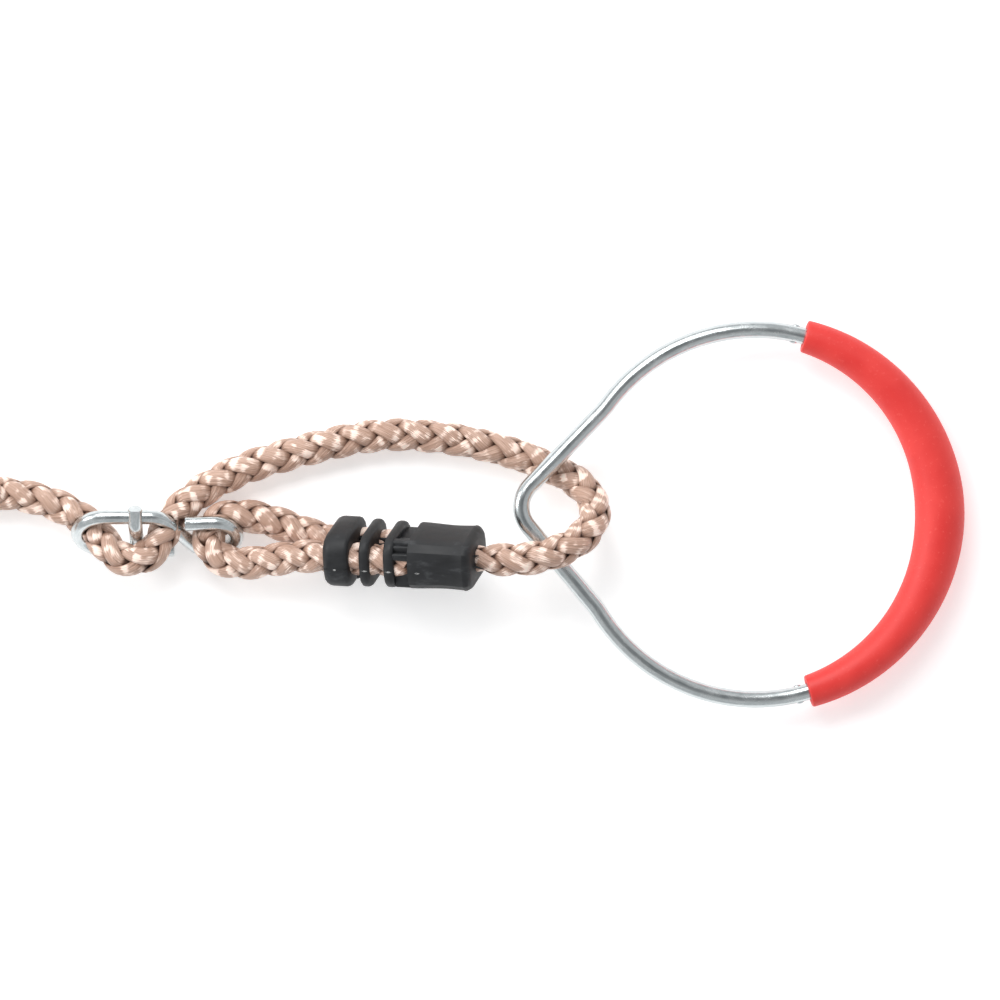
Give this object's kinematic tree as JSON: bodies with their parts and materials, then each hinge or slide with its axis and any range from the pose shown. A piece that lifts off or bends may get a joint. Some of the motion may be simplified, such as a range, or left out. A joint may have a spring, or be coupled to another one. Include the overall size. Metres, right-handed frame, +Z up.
{
  "type": "gymnastic hand ring on adjustable rope",
  "caption": "Steel hand ring with a moulded grip, hung in a braided rope loop that a moulded clamp makes up and a figure-eight wire adjuster shortens.",
  "frame": {"origin": "on the surface that it lies on, under the middle of the box round the hand ring, clamp and adjuster", "axes": "+X along the object from the adjuster to the hand ring, +Y across it, +Z up from the surface it lies on"},
  "size_m": [0.5918, 0.1705, 0.0407],
  "materials": {
    "rope": "satin braided polypropylene fibre",
    "tie_webbing": "woven tie",
    "rod_zinc": "bright zinc plate",
    "wire_zinc": "bright zinc plate",
    "grip_plastic": "fine matt grain",
    "clamp_plastic": "matt moulded"
  },
  "bodies": {
    "rope_work": {"rope_small_bight": "rope", "rope_ring_loop": "rope", "rope_far_end": "rope", "rope_coil": "rope", "coil_tie_upper": "tie_webbing", "coil_tie_lower": "tie_webbing", "rope_clamp": "clamp_plastic", "top_clamp": "clamp_plastic", "adjuster_hook": "wire_zinc", "crossbar": "wire_zinc"},
    "hand_ring": {"ring_rod": "rod_zinc", "rod_weld": "rod_zinc", "grip": "grip_plastic"},
    "top_ring": {"hanging_ring": "wire_zinc"}
  },
  "joints": [
    {"name": "hand_ring_swing", "type": "hinge", "parent": "rope_work", "child": "hand_ring", "pos_m": [0.01038, 0.0028, 0.017], "axis": [0.0358, 0.9994, 0], "range_deg": [-38, 38]},
    {"name": "top_ring_swing", "type": "hinge", "parent": "rope_work", "child": "top_ring", "pos_m": [-0.3955, 0.062, 0.01565], "axis": [0, 1, 0], "range_deg": [-60, 60]}
  ]
}
